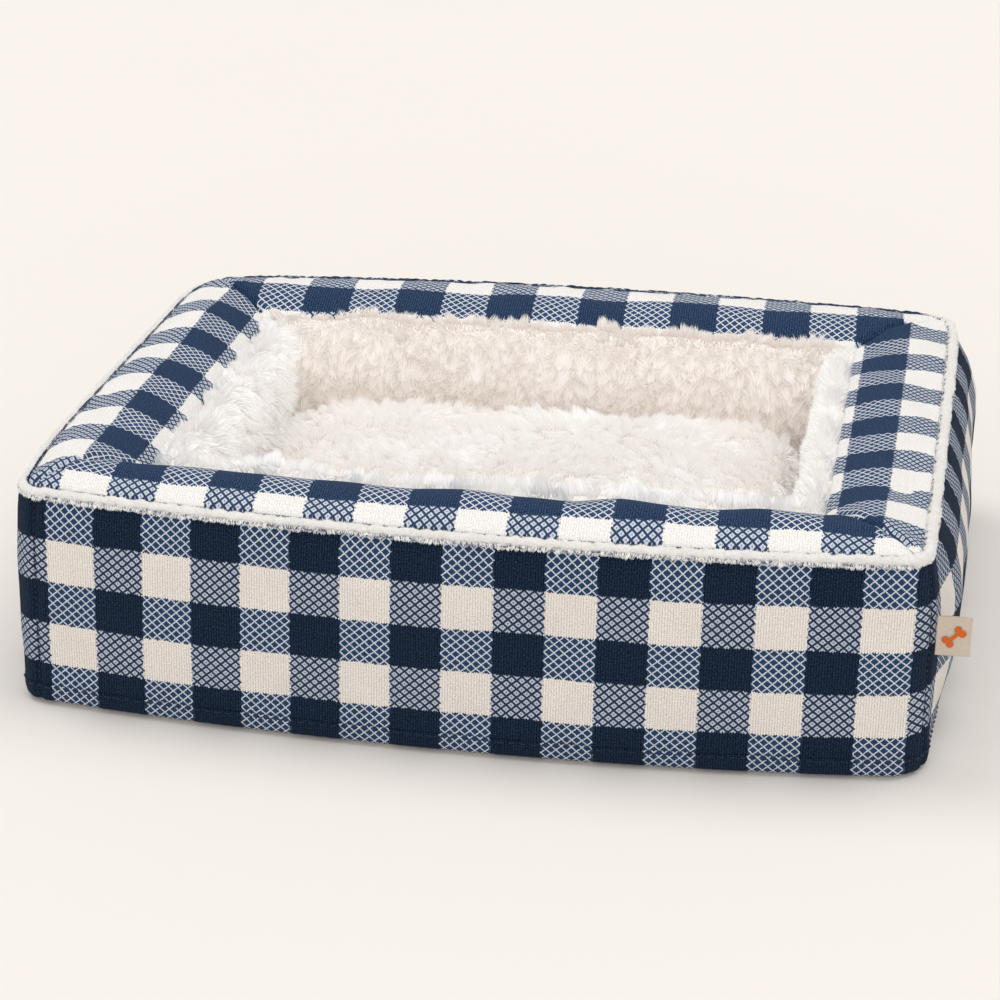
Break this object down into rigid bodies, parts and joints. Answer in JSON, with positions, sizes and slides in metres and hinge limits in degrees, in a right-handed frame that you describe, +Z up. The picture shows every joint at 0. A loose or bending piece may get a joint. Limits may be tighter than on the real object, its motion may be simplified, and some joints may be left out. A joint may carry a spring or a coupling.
{
  "type": "pet cushion bed",
  "caption": "Rectangular bolster pet bed: padded gingham walls with a piped rim, plush-lined well, loose domed cushion and a zip in the back.",
  "frame": {"origin": "centre of the underside, on the plane the bed stands on", "axes": "+Z up, +X along the long side to the right as seen from the front, -Y towards the front side"},
  "size_m": [0.6045, 0.4795, 0.1585],
  "materials": {
    "gingham": "woven, matte",
    "gingham_rim": "woven, matte, quilted over wadding",
    "fleece": "short fuzzy fleece",
    "plush": "long soft pile",
    "wadding": "polyester fibre",
    "foam": "open-cell foam",
    "lining": "plain weave",
    "nonslip": "canvas",
    "dots": "matte",
    "thread_light": "twisted thread",
    "thread_navy": "twisted thread",
    "zip_tape": "twill tape",
    "zip_coil": "moulded nylon",
    "zip_metal": "satin",
    "label": "twill tape",
    "label_print": "screen print"
  },
  "bodies": {
    "bed": {"front_panel": "gingham", "back_panel": "gingham", "left_panel": "gingham", "right_panel": "gingham", "rim_front": "gingham_rim", "rim_back": "gingham_rim", "rim_left": "gingham_rim", "rim_right": "gingham_rim", "rim_wadding_front": "wadding", "rim_wadding_back": "wadding", "rim_wadding_left": "wadding", "rim_wadding_right": "wadding", "piping_sleeve": "fleece", "piping_cord": "wadding", "plush_wall_front": "plush", "plush_wall_back": "plush", "plush_wall_left": "plush", "plush_wall_right": "plush", "wall_foam_front": "foam", "wall_foam_back": "foam", "wall_foam_left": "foam", "wall_foam_right": "foam", "base_foam": "foam", "deck_fabric": "lining", "underside_fabric": "nonslip", "grip_dots": "dots", "hem_front": "gingham", "hem_back": "gingham", "hem_left": "gingham", "hem_right": "gingham", "hem_thread": "thread_light", "corner_threads": "thread_navy", "zip_tape_upper": "zip_tape", "zip_tape_lower": "zip_tape", "zip_teeth_upper": "zip_coil", "zip_teeth_lower": "zip_coil", "zip_stops": "zip_metal"},
    "slider": {"zip_slider": "zip_metal"},
    "pull": {"zip_pull": "zip_metal"},
    "cushion": {"cushion_plush": "plush", "cushion_filling": "wadding", "cushion_base": "lining"},
    "label": {"label_tab": "label", "label_symbol": "label_print"}
  },
  "joints": [
    {"name": "cushion_lift", "type": "slide", "parent": "bed", "child": "cushion", "axis": [0, 0, 1], "range_m": [0, 0.16]},
    {"name": "zip_run", "type": "slide", "parent": "bed", "child": "slider", "axis": [-1, 0, 0], "range_m": [0, 0.388]},
    {"name": "pull_swing", "type": "hinge", "parent": "slider", "child": "pull", "pos_m": [0.194, 0.2405, 0.023], "axis": [0, 0, -1], "range_deg": [0, 160]},
    {"name": "label_flap", "type": "hinge", "parent": "bed", "child": "label", "pos_m": [0.28338, -0.22038, 0.095], "axis": [0, 0, 1], "range_deg": [-60, 35], "stiffness_Nm_per_rad": 0.0004}
  ]
}
